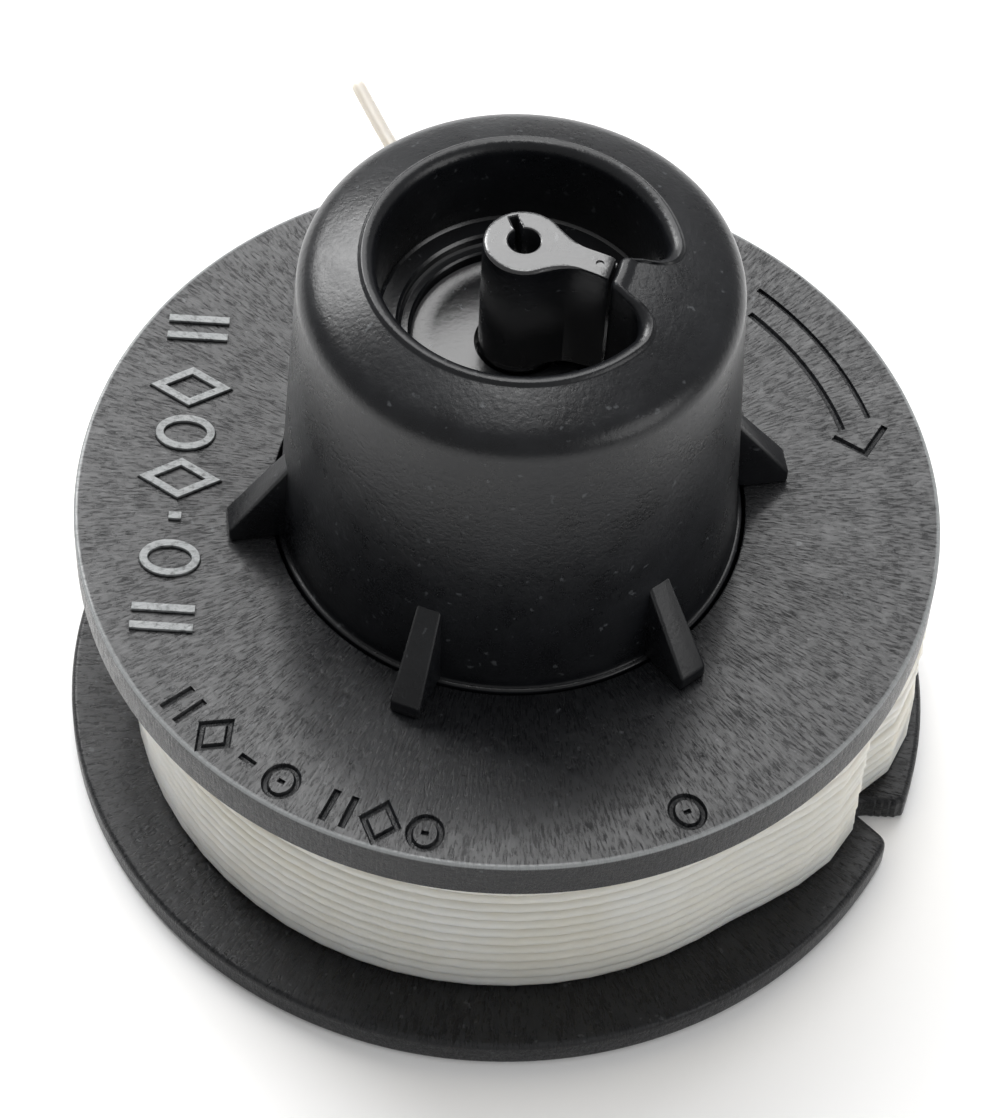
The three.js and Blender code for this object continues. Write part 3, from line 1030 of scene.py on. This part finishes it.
# The lower flange's rim seen from above, anticlockwise, with a notch at each turn.
def rimOutline():
    found = []
    for i, middle in enumerate(notch["turns"]):
        half = math.degrees(notch["mouth"] / 2 / lowerRadius)
        endHalf = math.degrees(notch["end"] / 2 / notch["endRadius"])
        corner = math.degrees(notch["cornerRound"] / lowerRadius)
        near = [polar(lowerRadius, middle - half - corner), polar(lowerRadius, middle - half)]
        near.append(polar(lowerRadius - notch["cornerRound"], middle - half + corner * 0.35))
        found += bend(*near, 7)
        end, reach = notch["endRadius"], notch["endRadius"] + notch["endRound"]
        before, after = middle - endHalf, middle + endHalf
        found += bend(polar(reach, before - 0.35), polar(end, before), polar(end, middle), 4)
        found += bend(polar(end, middle), polar(end, after), polar(reach, after + 0.35), 4)[1:]
        first, last = endHalf + 0.75, half - 0.25
        for tooth in range(notch["teeth"]):
            share = tooth / notch["teeth"]
            radius = reach + 0.45 + (lowerRadius - reach - 0.9) * share
            swing = middle + first + (last - first) * share
            found += [polar(radius, swing), polar(radius + 0.42, swing + 0.1)]
            found.append(polar(radius + 0.6, swing + 0.42))
        far = middle + half
        leaving = [polar(lowerRadius - 0.3, far), polar(lowerRadius, far + 0.05)]
        found += bend(*leaving, polar(lowerRadius, far + 0.6), 3)
        nextTurn = notch["turns"][(i + 1) % 2] + (360 if i else 0)
        found += arc((0, 0), lowerRadius, middle + half + 1.2, nextTurn - half - corner - 0.8, 120)
    return [Vector(point) for point in found]


# The lower flange as loops: out over its top, round the rim and back in below.
def lowerLoops():
    outline = rimOutline()
    normals = outwards(outline)
    soft = lower["round"]
    aims = [point.normalized() for point in outline]

    def ring(radius, height):
        return [(aim.x * radius, aim.y * radius, height) for aim in aims]

    def rim(inset, height):
        flats = [point - normal * inset for point, normal in zip(outline, normals)]
        return [(flat.x, flat.y, height) for flat in flats]

    low, high = lowerLow.z, lowerTop
    hole, recess = lower["hole"], lower["recessRadius"]
    recessTop = low + lower["recessHeight"]
    loops = [ring(hole + 0.3, high), ring(26, high), ring(lower["inside"], high)]
    for i in range(6):
        swing = math.radians(90 * i / 5)
        loops.append(rim(soft * (1 - math.sin(swing)), high - soft * (1 - math.cos(swing))))
    for i in range(6):
        swing = math.radians(90 * i / 5)
        loops.append(rim(soft * (1 - math.cos(swing)), low + soft * (1 - math.sin(swing))))
    loops += [ring(lower["inside"], low), ring(recess + 0.2, low), ring(recess, low + 0.2)]
    loops += [ring(recess, recessTop), ring(hole, recessTop), ring(hole, high - 0.3)]
    return loops + [loops[0]]


def makeLowerFlange():
    bm = bmesh.new()
    skin(bm, lowerLoops())
    piece = asObject(bm, "lower_disc")
    material = flangeNylon("lowerFlangeNylon", "lowerGloss", lowerTop * mm)
    finishPiece(piece, material, ["lower_flange"])
    print("lower flange made", len(piece.data.polygons))


makeUpperFlange()
makeLowerFlange()


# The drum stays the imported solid, because the line hides it.
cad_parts["drum"].data.materials.clear()
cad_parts["drum"].data.materials.append(hubNylon("drumNylon", "hub"))


studio = {
    "floorSize": 3.0,
    "floorShade": 0.95,
    "worldShade": 1.0,
    "worldStrength": 0.42,
    "lampAim": 0.03,  # the height that the lamps point at, in metres
}

# Each lamp's direction round from the right and up, in degrees, its distance and width in metres, and
# its brightness.
lamps = (
    ("backSoftbox", 86, 53, 0.9, 0.7, 4.2),  # the sheen on the flanges
    ("leftSoftbox", 130, 40, 0.9, 0.42, 14.0),  # the hub's bright left edge
    ("overheadSoftbox", 90, 84, 0.9, 0.28, 9.5),  # the bright lines on the rounded edges
    ("frontFill", -30, 24, 0.9, 0.6, 2.3),  # the wound line's front and right
)


def makeStage():
    bm = bmesh.new()
    bmesh.ops.create_grid(bm, x_segments=4, y_segments=4, size=studio["floorSize"])
    floor = asObject(bm, "studio_floor")
    finish = Finish("paleFloor")
    shade = studio["floorShade"]
    plain = finish.shade({"Base Color": (shade, shade, shade, 1), "Roughness": 0.9})
    floor.data.materials.append(plain)
    world = bpy.data.worlds.new("studioWorld")
    world.use_nodes = True
    sky = world.node_tree.nodes["Background"]
    shade = studio["worldShade"]
    sky.inputs["Color"].default_value = (shade, shade, shade, 1)
    sky.inputs["Strength"].default_value = studio["worldStrength"]
    bpy.context.scene.world = world
    for name, turned, up, distance, width, brightness in lamps:
        data = bpy.data.lights.new(name, "AREA")
        data.shape, data.size = "DISK", width
        data.energy = brightness * math.pi * math.pi * width * width / 4
        lamp = bpy.data.objects.new(name, data)
        bpy.context.scene.collection.objects.link(lamp)
        reach, height = polar(distance, up)
        place = Vector((*polar(reach, turned), height))
        lamp.location = place
        lamp.rotation_mode = "QUATERNION"
        lamp.rotation_quaternion = (Vector((0, 0, studio["lampAim"])) - place).to_track_quat("-Z", "Y")
    bpy.context.scene.view_settings.view_transform = "Standard"


makeStage()
print("stage lit")
